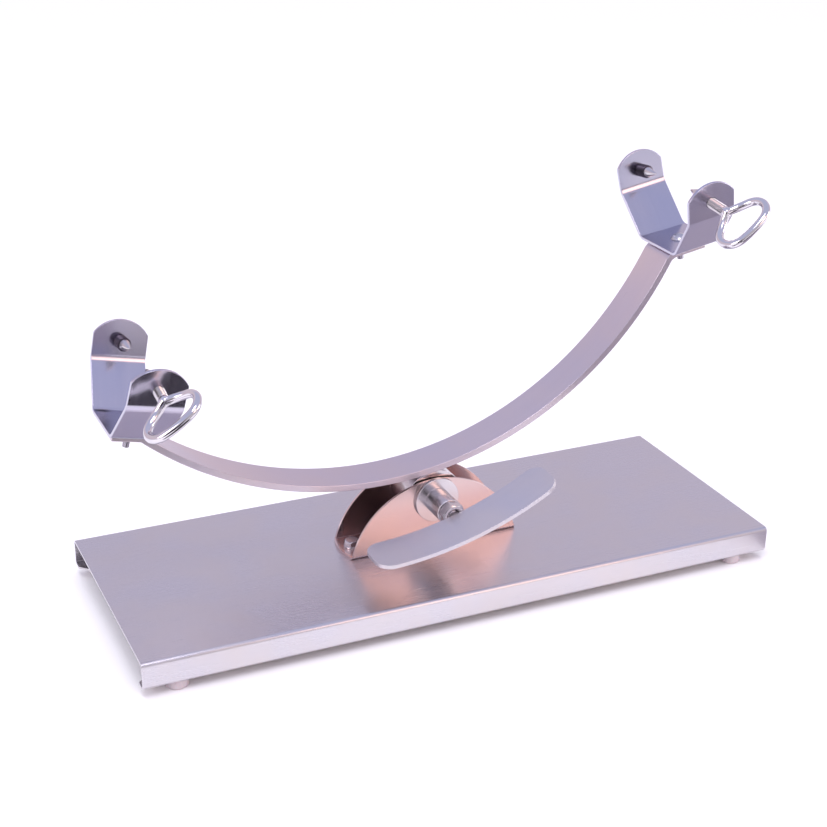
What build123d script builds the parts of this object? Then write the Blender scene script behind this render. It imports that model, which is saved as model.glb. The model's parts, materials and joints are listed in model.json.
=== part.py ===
"""Tilting clamp stand in stainless sheet and flat bar.

A folded base tray carries a channel bracket. A curved strap rocks on a bolt through the bracket and
is locked by a lever nut. Each end of the strap carries a folded sheet clamp with a fixed point at
the rear and a ring-handled screw at the front.

The frame has +X along the base to the right, +Y to the rear, +Z up, and its origin on the floor
under the middle of the base. All sizes are millimetres and all angles are degrees.
"""

import os
from math import asin, cos, degrees, radians, sin, sqrt

from build123d import *

os.makedirs("parts", exist_ok=True)

# Clearances
touch_gap = 0.1  # between flat faces that slide past each other
running_gap = 0.05  # radial, of a shaft in a hole it turns in
bolt_gap = 0.25  # radial, of a bolt in a plain hole

# Base tray
base_length = 500
base_width = 190
base_sheet = 1.5
base_flange = 20.5
base_bend = 3
base_lip = 17.5
lip_corner = 8

# Feet
foot_height = 6.5
foot_diameter = 16
foot_end_inset = 26
foot_side_inset = 9.5
foot_recess_diameter = 9
foot_recess_depth = 3.6
foot_edge = 1.2
foot_screw = 4
foot_screw_head = 8
foot_screw_head_height = 2.4
foot_nut_flats = 7
foot_nut_height = 3.2
foot_screw_end = 0.8

# Pivot bracket
bracket_sheet = 2
bracket_width = 36
bracket_bend = 2.5
bracket_end_bulge = 3.5
cheek_radius = 69.5
cheek_rise = 54.5
bracket_bolt_span = 122
bracket_bolt = 6
bracket_bolt_head_flats = 10
bracket_bolt_head_height = 4
bracket_washer_diameter = 12
bracket_washer_thickness = 1.6
bracket_nut_height = 5
bracket_bolt_end = 2

# Pivot and lock
pivot_height = 38.5  # above the top of the base
pivot_bolt_diameter = 10
pivot_head_flats = 17
pivot_head_height = 6.4
pivot_bolt_engagement = 6.5  # thread inside the lever nut
front_washer_diameter = 35
front_washer_thickness = 3
rear_washer_diameter = 30
rear_washer_thickness = 2.5
sleeve_diameter = 19.6
sleeve_length = 21
lever_nut_flats = 17
lever_nut_height = 8
lever_tilt = 16.2
lever_drop = 1.2  # underside of the bar below the pivot axis
lever_sheet = 3
lever_width = 35.5
lever_length = 146
lever_radius = 268  # top surface of the bar
lever_corner = 12

# Cradle strap
cradle_tilt = 8.7
strap_width = 32
strap_thickness = 5
strap_radius = 264  # top surface of the arc
strap_rise = 21  # underside of the arc above the pivot axis
left_arc = 49.85
right_arc = 53.5
left_tab_slope = 20.8
right_tab_slope = 2
left_bend_radius = 8
right_bend_radius = 12
left_tab_length = 20
right_tab_length = 25.5
left_seat_inset = 15.8
right_seat_inset = 13

# Pivot boss and its bushes
boss_radius = 22
bush_radius = 7
bush_flange_radius = 10
bush_flange = 1.5
bush_length = 12

# Clamps, sizes along the outer face of the sheet
clamp_sheet = 2.5
clamp_strip = 39.2
clamp_floor = 48.8
clamp_wall = 39.5
clamp_wall_angle = 52.5
clamp_wing = 29.3
clamp_wing_lean = 6.5
clamp_wing_arch = 23.2
clamp_low_bend = 9
clamp_high_bend = 14
wing_hole_height = 13.4
clamp_bolt = 5
clamp_bolt_head = 12.5
clamp_bolt_head_height = 3.5
clamp_nut_flats = 8
clamp_nut_height = 4
clamp_bolt_end = 6

# Fixed points in the rear wings
spike_thread = 8
spike_shoulder_diameter = 10
spike_shoulder_length = 10.5
spike_cone_diameter = 8
spike_cone_length = 12
spike_nut_flats = 13
spike_nut_height = 6.5
spike_end = 1.5

# Ring screws in the front wings
screw_diameter = 8
screw_nut_flats = 13
screw_nut_height = 6.5
screw_length = 32.7
screw_spigot_diameter = 4
screw_spigot_length = 6
screw_point_length = 10
left_screw_reach = 13.2  # wing to the middle of the ring joint
right_screw_reach = 18.7
point_tip_radius = 0.4

# Ring handles
ring_wire = 6
ring_leg_spread = 56  # each leg from the screw axis
ring_leg_length = 17.5
ring_corner_radius = 12
ring_bow_radius = 50
ring_joint_radius = 3.8
ring_neck_length = 3
left_ring_turn = 49
right_ring_turn = 33

# Places worked out from the sizes above
base_top = foot_height + base_flange
pivot_z = base_top + pivot_height
cheek_drop = cheek_radius - cheek_rise
bracket_half_length = sqrt(cheek_radius**2 - cheek_drop**2)
bracket_inside = bracket_width / 2 - bracket_sheet
bracket_bolt_places = [(-bracket_bolt_span / 2, 0), (bracket_bolt_span / 2, 0)]
cheek_front = -bracket_width / 2
washer_front = cheek_front - front_washer_thickness
sleeve_front = washer_front - sleeve_length
lever_nut_back = sleeve_front - touch_gap
lever_back = lever_nut_back - lever_nut_height - touch_gap
strap_underside = strap_radius + strap_thickness
arc_centre = strap_rise + strap_underside
lever_arc_centre = lever_radius + lever_sheet - lever_drop


def save(piece, name):
    """Name a finished piece and write it to its own file."""
    piece.part.label = name
    export_step(piece.part, f"parts/{name}.step")


def front_plane(tilt, y=0):
    """A plane across the pivot axis, seen from the front, with its right side raised by tilt."""
    return Plane(origin=(0, y, pivot_z), x_dir=(cos(radians(tilt)), 0, sin(radians(tilt))), z_dir=(0, -1, 0))


def cross_plane(y):
    """An upright plane at y that faces the front, with its origin on the pivot axis."""
    return front_plane(0, y)


def turned(plane, angle):
    """The same plane, turned about its own normal."""
    return Plane(plane.location * Location((0, 0, 0), (0, 0, angle)))


def hex_nut(plane, flats, height, hole):
    """A hexagon nut on a plane, with a plain bore in place of the thread."""
    with BuildPart() as nut:
        with BuildSketch(plane):
            RegularPolygon(flats / 2, 6, major_radius=False)
            Circle(hole, mode=Mode.SUBTRACT)
        extrude(amount=height)
    return nut.part


def washer(plane, diameter, thickness, hole):
    """A flat round washer on a plane."""
    with BuildPart() as ring:
        with BuildSketch(plane):
            Circle(diameter / 2)
            Circle(hole, mode=Mode.SUBTRACT)
        extrude(amount=thickness)
    return ring.part


def hex_bolt(plane, flats, head_height, diameter, length):
    """A hexagon bolt with its head above the plane and its shank below."""
    with BuildPart() as bolt:
        with BuildSketch(plane):
            RegularPolygon(flats / 2, 6, major_radius=False)
        extrude(amount=head_height)
        with BuildSketch(plane):
            Circle(diameter / 2)
        extrude(amount=-length)
    return bolt.part


def dome_bolt(plane, head, head_height, diameter, length):
    """A round-headed bolt with its dome above the plane and its shank below."""
    dome_radius = ((head / 2) ** 2 + head_height**2) / (2 * head_height)
    with BuildPart() as bolt:
        with BuildSketch(Plane(origin=plane.origin, x_dir=plane.x_dir, z_dir=-plane.y_dir)):
            with BuildLine():
                shank_end = (0, -length)
                Polyline((0, head_height), shank_end, (diameter / 2, -length), (diameter / 2, 0), (head / 2, 0))
                RadiusArc((head / 2, 0), (0, head_height), -dome_radius)
            make_face()
        revolve(axis=Axis(plane.origin, plane.z_dir))
    return bolt.part


# ---- Base tray: a sheet with two folded flanges and inward lips -----------------------------------
half_width = base_width / 2
lip_edge = half_width - base_lip
foot_places = [
    (name, x_side * (base_length / 2 - foot_end_inset), y_side * (half_width - foot_side_inset))
    for name, x_side, y_side in (
        ("front_left", -1, -1),
        ("front_right", 1, -1),
        ("rear_left", -1, 1),
        ("rear_right", 1, 1),
    )
]
foot_spots = [(x, y) for name, x, y in foot_places]

with BuildPart() as base_plate:
    with BuildSketch(Plane.YZ):
        with BuildLine():
            FilletPolyline(
                (-lip_edge, foot_height),
                (-half_width, foot_height),
                (-half_width, base_top),
                (half_width, base_top),
                (half_width, foot_height),
                (lip_edge, foot_height),
                radius=base_bend,
            )
            offset(amount=base_sheet, side=Side.RIGHT)
        make_face()
    extrude(amount=base_length / 2, both=True)
    upright = base_plate.edges().filter_by(Axis.Z)
    chamfer(upright.filter_by(lambda e: abs(abs(e.center().Y) - lip_edge) < base_sheet), lip_corner)
    with BuildSketch(Plane.XY.offset(foot_height)):
        with Locations(*foot_spots):
            Circle(foot_screw / 2 + bolt_gap)
    extrude(amount=base_sheet, mode=Mode.SUBTRACT)
    with BuildSketch(Plane.XY.offset(base_top)):
        with Locations(*bracket_bolt_places):
            Circle(bracket_bolt / 2 + bolt_gap)
    extrude(amount=-base_sheet, mode=Mode.SUBTRACT)
save(base_plate, "base_plate")

# ---- Feet: pale rubber pads, each held by a screw in its recess and a nut on the lip ----------------
for name, x, y in foot_places:
    with BuildPart() as foot:
        with BuildSketch(Plane.XY):
            with Locations((x, y)):
                Circle(foot_diameter / 2)
        extrude(amount=foot_height)
        fillet(foot.edges().group_by(Axis.Z)[0], foot_edge)
        with BuildSketch(Plane.XY):
            with Locations((x, y)):
                Circle(foot_recess_diameter / 2)
        extrude(amount=foot_recess_depth, mode=Mode.SUBTRACT)
        with BuildSketch(Plane.XY):
            with Locations((x, y)):
                Circle(foot_screw / 2 + bolt_gap)
        extrude(amount=foot_height, mode=Mode.SUBTRACT)
    save(foot, f"foot_{name}")

lip_top = foot_height + base_sheet
with BuildPart() as foot_screws:
    with BuildSketch(Plane.XY.offset(foot_recess_depth)):
        with Locations(*foot_spots):
            Circle(foot_screw_head / 2)
    extrude(amount=-foot_screw_head_height)
    fillet(foot_screws.edges().group_by(Axis.Z)[0], foot_screw_head_height / 2)
    with BuildSketch(Plane.XY.offset(foot_recess_depth)):
        with Locations(*foot_spots):
            Circle(foot_screw / 2)
    extrude(amount=lip_top + foot_nut_height + foot_screw_end - foot_recess_depth)
save(foot_screws, "foot_screws")

with BuildPart() as foot_nuts:
    with BuildSketch(Plane.XY.offset(lip_top)):
        with Locations(*foot_spots):
            RegularPolygon(foot_nut_flats / 2, 6, major_radius=False)
            Circle(foot_screw / 2, mode=Mode.SUBTRACT)
    extrude(amount=foot_nut_height)
save(foot_nuts, "foot_nuts")

# ---- Pivot bracket: a channel whose cheeks are segments of a circle ---------------------------------
pivot_hole = pivot_bolt_diameter / 2 + bolt_gap
with BuildPart() as pivot_bracket:
    cheek_top = base_top + cheek_rise
    with BuildSketch(Plane.YZ):
        with BuildLine():
            FilletPolyline(
                (cheek_front, cheek_top),
                (cheek_front, base_top),
                (-cheek_front, base_top),
                (-cheek_front, cheek_top),
                radius=bracket_bend,
            )
            offset(amount=bracket_sheet, side=Side.LEFT)
        make_face()
    extrude(amount=2 * bracket_half_length, both=True)
    with BuildSketch(Plane.XY.offset(base_top)):
        with BuildLine():
            front_left = (-bracket_half_length, cheek_front)
            front_right = (bracket_half_length, cheek_front)
            rear_left = (-bracket_half_length, -cheek_front)
            rear_right = (bracket_half_length, -cheek_front)
            Line(front_left, front_right)
            ThreePointArc(front_right, (bracket_half_length + bracket_end_bulge, 0), rear_right)
            Line(rear_right, rear_left)
            ThreePointArc(rear_left, (-bracket_half_length - bracket_end_bulge, 0), front_left)
        make_face()
    extrude(amount=cheek_rise, mode=Mode.INTERSECT)
    with BuildSketch(cross_plane(-cheek_front)):
        with Locations((0, bracket_sheet - pivot_height)):
            Rectangle(3 * cheek_radius, cheek_rise, align=(Align.CENTER, Align.MIN))
        with Locations((0, -pivot_height - cheek_drop)):
            Circle(cheek_radius, mode=Mode.SUBTRACT)
    extrude(amount=bracket_width, mode=Mode.SUBTRACT)
    with BuildSketch(cross_plane(-cheek_front)):
        Circle(pivot_hole)
    extrude(amount=bracket_width, mode=Mode.SUBTRACT)
    with BuildSketch(Plane.XY.offset(base_top)):
        with Locations(*bracket_bolt_places):
            Circle(bracket_bolt / 2 + bolt_gap)
    extrude(amount=bracket_sheet, mode=Mode.SUBTRACT)
save(pivot_bracket, "pivot_bracket")

# ---- Bracket fixings: a bolt and washer inside the channel, a nut and washer under the base --------
bracket_floor = base_top + bracket_sheet
underside = base_top - base_sheet
bolt_seats = [Plane(origin=(x, y, bracket_floor + bracket_washer_thickness)) for x, y in bracket_bolt_places]
washer_hole = bracket_bolt / 2 + bolt_gap
grip = bracket_sheet + base_sheet + 2 * bracket_washer_thickness
bolt_length = grip + bracket_nut_height + bracket_bolt_end
bolts = [
    hex_bolt(seat, bracket_bolt_head_flats, bracket_bolt_head_height, bracket_bolt, bolt_length)
    for seat in bolt_seats
]
washers = [
    washer(Plane(origin=(x, y, z)), bracket_washer_diameter, bracket_washer_thickness, washer_hole)
    for x, y in bracket_bolt_places
    for z in (bracket_floor, underside - bracket_washer_thickness)
]
nuts = [
    hex_nut(
        Plane(origin=(x, y, underside - bracket_washer_thickness - bracket_nut_height)),
        bracket_bolt_head_flats,
        bracket_nut_height,
        bracket_bolt / 2,
    )
    for x, y in bracket_bolt_places
]
with BuildPart() as bracket_bolts:
    add(bolts)
save(bracket_bolts, "bracket_bolts")
with BuildPart() as bracket_washers:
    add(washers)
save(bracket_washers, "bracket_washers")
with BuildPart() as bracket_nuts:
    add(nuts)
save(bracket_nuts, "bracket_nuts")

# ---- Pivot bolt, washers and spacer sleeve ----------------------------------------------------------
bolt_seat_y = bracket_width / 2 + rear_washer_thickness
bolt_reach = bolt_seat_y - sleeve_front + pivot_bolt_engagement
with BuildPart() as pivot_bolt:
    with BuildSketch(cross_plane(bolt_seat_y)):
        RegularPolygon(pivot_head_flats / 2, 6, major_radius=False)
    extrude(amount=-pivot_head_height)
    with BuildSketch(cross_plane(bolt_seat_y)):
        Circle(pivot_bolt_diameter / 2)
    extrude(amount=bolt_reach)
    chamfer(pivot_bolt.edges().group_by(Axis.Y)[0], 1)
save(pivot_bolt, "pivot_bolt")

for name, y, diameter, thickness in (
    ("rear_washer", bolt_seat_y, rear_washer_diameter, rear_washer_thickness),
    ("front_washer", cheek_front, front_washer_diameter, front_washer_thickness),
    ("spacer_sleeve", washer_front, sleeve_diameter, sleeve_length),
):
    with BuildPart() as disc:
        with BuildSketch(cross_plane(y)):
            Circle(diameter / 2)
            Circle(pivot_hole, mode=Mode.SUBTRACT)
        extrude(amount=thickness)
    save(disc, name)

# ---- Lock lever: a nut and a bar that curves up clear of the base -----------------------------------
lever_bore = pivot_bolt_diameter / 2 + running_gap
with BuildPart() as lever_nut:
    with BuildSketch(front_plane(lever_tilt, lever_nut_back)):
        RegularPolygon(lever_nut_flats / 2, 6, major_radius=False, rotation=30)
        Circle(lever_bore, mode=Mode.SUBTRACT)
    extrude(amount=lever_nut_height)
save(lever_nut, "lever_nut")

half_sweep = degrees(asin(lever_length / 2 / lever_radius))
with BuildPart() as lever_bar:
    with BuildSketch(front_plane(lever_tilt, lever_back)):
        with BuildLine():
            CenterArc((0, lever_arc_centre), lever_radius, 270 - half_sweep, 2 * half_sweep)
            offset(amount=lever_sheet, side=Side.RIGHT)
        make_face()
    extrude(amount=lever_width)
    fillet(lever_bar.edges().filter_by(lambda e: e.length < 1.1 * lever_sheet), lever_corner)
save(lever_bar, "lever_bar")

# ---- Cradle strap: one arc with a flat tab bent out at each end -------------------------------------
cradle_plane = front_plane(cradle_tilt)
clamp_hole = clamp_bolt / 2 + bolt_gap
with BuildPart() as bent_strap:
    with BuildSketch(cradle_plane):
        with BuildLine():
            arc = CenterArc((0, arc_centre), strap_radius, 270 - left_arc, left_arc + right_arc)
            left_bend = JernArc(arc @ 0, -(arc % 0), left_bend_radius, left_arc - left_tab_slope)
            left_tab = Line(left_bend @ 1, left_bend @ 1 + left_tab_length * (left_bend % 1))
            right_bend = JernArc(arc @ 1, arc % 1, right_bend_radius, right_tab_slope - right_arc)
            right_tab = Line(right_bend @ 1, right_bend @ 1 + right_tab_length * (right_bend % 1))
            offset(amount=strap_thickness, side=Side.RIGHT)
        make_face()
    extrude(amount=strap_width / 2, both=True)


def seat_on(tab, inset, heading):
    """The plane of a clamp's seat on a tab: x along the strap to the right, z away from the strap."""
    seat = cradle_plane.from_local_coords(tab @ (1 - inset / tab.length))
    ahead = (cradle_plane.from_local_coords(tab @ 1) - cradle_plane.from_local_coords(tab @ 0)) * heading
    return Plane(origin=seat, x_dir=ahead, z_dir=ahead.cross(Vector(0, 1, 0)))


seats = {
    "left": seat_on(left_tab, left_seat_inset, -1),
    "right": seat_on(right_tab, right_seat_inset, 1),
}
with BuildPart() as arc_strap:
    add(bent_strap.part)
    for seat in seats.values():
        with BuildSketch(seat):
            Circle(clamp_hole)
        extrude(amount=-strap_thickness, mode=Mode.SUBTRACT)
save(arc_strap, "arc_strap")

# ---- Pivot boss, saddled under the strap, and its two flanged bushes --------------------------------
boss_half = bracket_inside - touch_gap - bush_flange
with BuildPart() as pivot_boss:
    with BuildSketch(cradle_plane):
        Circle(boss_radius)
        Circle(bush_radius, mode=Mode.SUBTRACT)
        with Locations((0, arc_centre)):
            Circle(strap_underside, mode=Mode.SUBTRACT)
    extrude(amount=boss_half, both=True)
save(pivot_boss, "pivot_boss")

with BuildPart() as pivot_bushes:
    for end in (-1, 1):
        with BuildSketch(cross_plane(end * boss_half)):
            Circle(bush_flange_radius)
        extrude(amount=-end * bush_flange)
        with BuildSketch(cross_plane(end * boss_half)):
            Circle(bush_radius)
        extrude(amount=end * bush_length)
    with BuildSketch(cross_plane(bracket_inside)):
        Circle(pivot_bolt_diameter / 2 + running_gap)
    extrude(amount=2 * bracket_inside, mode=Mode.SUBTRACT)
save(pivot_bushes, "pivot_bushes")

# ---- Clamps: a folded strip with slanted walls and arched wings -------------------------------------
wall_out = clamp_wall * cos(radians(clamp_wall_angle))
wall_up = clamp_wall * sin(radians(clamp_wall_angle))
wing_out = sin(radians(clamp_wing_lean))
wing_up = cos(radians(clamp_wing_lean))
wing_foot = (clamp_floor / 2 + wall_out, wall_up)
wing_top = (wing_foot[0] + clamp_wing * wing_out, wing_foot[1] + clamp_wing * wing_up)
screw_hole = screw_diameter / 2 + bolt_gap


def wing_plane(seat, side):
    """The outer face of a wing, with its origin at the hole and z outwards; side is 1 at the rear."""
    y = side * (wing_foot[0] + wing_hole_height * wing_out)
    z = wing_foot[1] + wing_hole_height * wing_up
    outward = seat.y_dir * side * wing_up - seat.z_dir * wing_out
    return Plane(origin=seat.from_local_coords((0, y, z)), x_dir=seat.x_dir * -side, z_dir=outward)


for hand, seat in seats.items():
    with BuildPart() as clamp:
        with BuildSketch(Plane(origin=seat.origin, x_dir=seat.y_dir, z_dir=seat.x_dir)):
            with BuildLine():
                FilletPolyline(
                    (-wing_top[0], wing_top[1]),
                    (-wing_foot[0], wing_foot[1]),
                    (-clamp_floor / 2, 0),
                    (clamp_floor / 2, 0),
                    wing_foot,
                    wing_top,
                    radius=[clamp_high_bend, clamp_low_bend, clamp_low_bend, clamp_high_bend],
                )
                offset(amount=clamp_sheet, side=Side.LEFT)
            make_face()
        extrude(amount=clamp_strip / 2, both=True)
        with BuildSketch(seat):
            Circle(clamp_hole)
        extrude(amount=clamp_sheet, mode=Mode.SUBTRACT)
        for side in (-1, 1):
            arch_centre = clamp_wing - wing_hole_height - clamp_wing_arch
            with BuildSketch(wing_plane(seat, side)):
                with Locations((0, arch_centre)):
                    Rectangle(2 * clamp_strip, 2 * clamp_wing_arch, align=(Align.CENTER, Align.MIN))
                    Circle(clamp_wing_arch, mode=Mode.SUBTRACT)
                Circle(screw_hole)
            extrude(amount=clamp_sheet, both=True, mode=Mode.SUBTRACT)
    save(clamp, f"clamp_{hand}")

# ---- Clamp bolts and nuts ---------------------------------------------------------------------------
clamp_bolt_length = clamp_sheet + strap_thickness + clamp_nut_height + clamp_bolt_end
domes = [
    dome_bolt(seat.offset(clamp_sheet), clamp_bolt_head, clamp_bolt_head_height, clamp_bolt, clamp_bolt_length)
    for seat in seats.values()
]
seat_nuts = [
    hex_nut(turned(seat, 30).offset(-strap_thickness), clamp_nut_flats, -clamp_nut_height, clamp_bolt / 2)
    for seat in seats.values()
]
with BuildPart() as clamp_bolts:
    add(domes)
save(clamp_bolts, "clamp_bolts")
with BuildPart() as clamp_nuts:
    add(seat_nuts)
save(clamp_nuts, "clamp_nuts")

# ---- Fixed points: a turned stud through each rear wing, with a nut outside -------------------------
wings = {(hand, side): wing_plane(seat, side) for hand, seat in seats.items() for side in (-1, 1)}
for hand in seats:
    rear = wings[hand, 1]
    with BuildPart() as spike:
        with BuildSketch(rear.offset(-clamp_sheet)):
            Circle(spike_shoulder_diameter / 2)
        extrude(amount=-spike_shoulder_length)
        with BuildSketch(rear.offset(-clamp_sheet)):
            Circle(spike_thread / 2)
        extrude(amount=clamp_sheet + spike_nut_height + spike_end)
        with BuildSketch(rear.offset(-clamp_sheet - spike_shoulder_length)):
            Circle(spike_cone_diameter / 2)
        with BuildSketch(rear.offset(-clamp_sheet - spike_shoulder_length - spike_cone_length)):
            Circle(point_tip_radius)
        loft()
    save(spike, f"spike_{hand}")

rear_nuts = [hex_nut(wings[hand, 1], spike_nut_flats, spike_nut_height, spike_thread / 2) for hand in seats]
with BuildPart() as spike_nuts:
    add(rear_nuts)
save(spike_nuts, "spike_nuts")

# ---- Ring screws: welded nut, screw, loose point and ring handle ------------------------------------
screw_nuts = [
    hex_nut(
        wings[hand, -1].offset(-clamp_sheet),
        screw_nut_flats,
        -screw_nut_height,
        screw_diameter / 2 + running_gap,
    )
    for hand in seats
]
with BuildPart() as weld_nuts:
    add(screw_nuts)
save(weld_nuts, "weld_nuts")

reaches = {"left": left_screw_reach, "right": right_screw_reach}
ring_turns = {"left": left_ring_turn, "right": right_ring_turn}
leg = Vector(sin(radians(ring_leg_spread)), cos(radians(ring_leg_spread))) * ring_leg_length
corner_centre = leg + Vector(-cos(radians(ring_leg_spread)), sin(radians(ring_leg_spread))) * ring_corner_radius
bow_half = degrees(asin(corner_centre.X / (ring_bow_radius - ring_corner_radius)))
corner_sweep = 90 + ring_leg_spread - bow_half
with BuildLine() as ring_outline:
    right_leg = Line((0, 0), leg)
    right_corner = JernArc(leg, right_leg % 1, ring_corner_radius, corner_sweep)
    bow = JernArc(right_corner @ 1, right_corner % 1, ring_bow_radius, 2 * bow_half)
    left_corner = JernArc(bow @ 1, bow % 1, ring_corner_radius, corner_sweep)
    Line(left_corner @ 1, (0, 0))

for hand in seats:
    front = wings[hand, -1]
    joint = front.offset(reaches[hand])
    neck = joint.offset(-ring_neck_length)
    with BuildPart() as screw_shaft:
        with BuildSketch(neck):
            Circle(screw_diameter / 2)
        extrude(amount=-screw_length)
        with BuildSketch(neck.offset(-screw_length)):
            Circle(screw_spigot_diameter / 2 + running_gap)
        extrude(amount=screw_spigot_length + touch_gap, mode=Mode.SUBTRACT)
    save(screw_shaft, f"screw_shaft_{hand}")

    with BuildPart() as screw_point:
        point_base = neck.offset(-screw_length - touch_gap)
        with BuildSketch(point_base):
            Circle(screw_spigot_diameter / 2)
        extrude(amount=screw_spigot_length)
        with BuildSketch(point_base):
            Circle(screw_diameter / 2)
        with BuildSketch(point_base.offset(-screw_point_length)):
            Circle(point_tip_radius)
        loft()
    save(screw_point, f"screw_point_{hand}")

    across = turned(joint, ring_turns[hand])
    ring_plane = Plane(origin=joint.origin, x_dir=across.x_dir, z_dir=across.x_dir.cross(joint.z_dir))
    with BuildPart() as ring:
        with BuildSketch(Plane(origin=joint.origin, z_dir=ring_plane.from_local_coords(leg) - joint.origin)):
            Circle(ring_wire / 2)
        sweep(path=ring_plane * ring_outline.line)
        with BuildSketch(neck):
            Circle(ring_wire / 2)
        extrude(amount=ring_neck_length)
        with Locations(joint.location):
            Sphere(ring_joint_radius)
        split(bisect_by=neck)
    save(ring, f"ring_{hand}")
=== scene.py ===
"""Tilting clamp stand: fine shapes, finishes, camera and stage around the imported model.

A folded tray carries a channel bracket. A curved strap rocks on a bolt through the bracket and is
locked by a lever nut. Each end of the strap has a folded clamp with a fixed point and a ring screw.
Lengths are metres, and MM turns millimetres into them.
"""

import json
from contextlib import contextmanager
from math import asin, cos, radians, sin, sqrt, tau

import bmesh
import bpy
from bpy.props import FloatProperty, FloatVectorProperty, PointerProperty
from mathutils import Matrix, Vector

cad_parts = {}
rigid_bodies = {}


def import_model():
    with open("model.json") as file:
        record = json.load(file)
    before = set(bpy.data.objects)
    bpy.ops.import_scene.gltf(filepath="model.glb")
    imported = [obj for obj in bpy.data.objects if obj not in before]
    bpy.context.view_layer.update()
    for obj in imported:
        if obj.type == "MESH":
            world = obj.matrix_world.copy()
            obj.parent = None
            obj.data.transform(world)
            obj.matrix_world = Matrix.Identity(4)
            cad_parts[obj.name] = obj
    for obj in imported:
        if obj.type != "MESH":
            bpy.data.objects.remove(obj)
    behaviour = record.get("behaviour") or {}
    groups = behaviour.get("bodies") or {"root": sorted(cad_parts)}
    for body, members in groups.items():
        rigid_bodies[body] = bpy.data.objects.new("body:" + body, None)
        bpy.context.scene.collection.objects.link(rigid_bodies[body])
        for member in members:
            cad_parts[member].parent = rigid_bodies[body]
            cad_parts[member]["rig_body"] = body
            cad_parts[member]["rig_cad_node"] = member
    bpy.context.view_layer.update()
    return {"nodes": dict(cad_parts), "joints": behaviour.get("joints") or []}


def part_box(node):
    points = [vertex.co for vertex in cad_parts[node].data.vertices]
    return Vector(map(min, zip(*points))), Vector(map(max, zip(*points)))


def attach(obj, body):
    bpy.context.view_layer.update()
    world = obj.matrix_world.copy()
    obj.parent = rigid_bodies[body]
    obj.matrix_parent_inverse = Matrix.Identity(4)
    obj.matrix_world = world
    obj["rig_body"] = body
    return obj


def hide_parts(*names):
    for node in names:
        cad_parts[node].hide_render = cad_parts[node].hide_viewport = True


bl_info = {
    "name": "Tilting Clamp Stand",
    "version": (1, 0, 0),
    "blender": (4, 5, 0),
    "location": "3D View > Sidebar > Clamp Stand",
    "description": "Builds the steel stand's visible pieces and its studio stage",
    "category": "Object",
}

MM = 0.001
X, Y, Z = (Vector(axis) for axis in ((1, 0, 0), (0, 1, 0), (0, 0, 1)))
SIDES = ("left", "right")
SIXTH = radians(60)  # one side of a hexagon
DOUBLES = 0.002 * MM  # vertices this near are one
FASTENER = ("plain_stainless_fastener", "zinc_fixings")  # finish and slot
TURNED = ("turned_stainless", "turned_steel")
SENSOR = 36  # width of the camera's sensor, in millimetres

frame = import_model()
joints = {joint["name"]: joint for joint in frame["joints"]}


# ---- Values ----
def linear(colour):
    """Turn an sRGB hex colour into linear red, green and blue."""
    parts = [int(colour[i:i + 2], 16) / 255 for i in (0, 2, 4)]
    return [part / 12.92 if part <= 0.04045 else ((part + 0.055) / 1.055) ** 2.4 for part in parts]


def size(label, description, millimetres):
    """A length that a user may change."""
    return FloatProperty(
        name=label, description=description, default=millimetres * MM, min=0, unit="LENGTH"
    )


def angle(label, description, degree):
    """An angle that a user may change."""
    return FloatProperty(name=label, description=description, default=radians(degree), unit="ROTATION")


def tint(label, description, colour):
    """A colour that a user may change."""
    return FloatVectorProperty(
        name=label, description=description, default=linear(colour), min=0, max=1, subtype="COLOR"
    )


class StandFinish(bpy.types.PropertyGroup):
    """The colours and the grain of the stand's finishes."""

    sheet: tint("Tray sheet", "Brushed stainless sheet of the tray", "D6D2D4")
    # The peach in the bracket's tint is a painted warm reflection of the room in front, baked into its
    # colour.
    bracket_tint_and_warm_reflection: tint("Bracket sheet", "Brushed stainless sheet of the bracket", "D8C3BF")
    bar: tint("Flat bar", "Brushed stainless bar of the strap", "D6CCD2")
    lever: tint("Lever bar", "Brushed stainless bar of the lever", "D4D0D4")
    strip: tint("Clamp strip", "Brushed stainless strip of the clamps", "C4C1CE")
    turned: tint("Turned steel", "Turned stainless of washers, sleeve and points", "D2CDD0")
    wire: tint("Ring wire", "Polished stainless wire of the rings", "DCD8DC")
    # Painted shade: the fixed points' thread gets a near-black colour for the shade and dark reflections in
    # its grooves.
    thread: tint("Threads", "Oil-blackened thread of the fixed points", "4A434E")
    fastener: tint("Fasteners", "Plain stainless of nuts and bolts", "C9C6CC")
    bronze: tint("Bushes", "Plain bearing bronze", "B08A55")
    rubber: tint("Feet", "Pale moulded rubber", "CFC2C6")
    # Real brushed lines are near 0.05 mm wide. They are drawn ten times as wide, so that they show.
    grain_width: size("Grain width", "Spacing of the brushed lines", 0.5)
    grain_length: size("Grain length", "Length of the brushed lines", 90)
    edge: size("Edge", "Rounding of the sheets' cut edges", 0.35)


class StrapSizes(bpy.types.PropertyGroup):
    """The curved strap and the tilt that it rests at."""

    tilt: angle("Tilt", "Right end above level", 8.7)
    width: size("Width", "Width of the bar", 32)
    thickness: size("Thickness", "Thickness of the bar", 5)
    radius: size("Radius", "Radius of the arc's top surface", 264)
    rise: size("Rise", "Underside of the arc above the pivot", 21)
    left_arc: angle("Left arc", "Arc left of the pivot", 49.85)
    right_arc: angle("Right arc", "Arc right of the pivot", 53.5)
    left_slope: angle("Left tab slope", "Slope of the left tab", 20.8)
    right_slope: angle("Right tab slope", "Slope of the right tab", 2)
    left_bend: size("Left bend", "Radius of the left bend", 8)
    right_bend: size("Right bend", "Radius of the right bend", 12)
    left_tab: size("Left tab", "Length of the left tab", 20)
    right_tab: size("Right tab", "Length of the right tab", 25.5)
    left_inset: size("Left seat", "Clamp bolt from the left tab's end", 15.8)
    right_inset: size("Right seat", "Clamp bolt from the right tab's end", 13)


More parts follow.
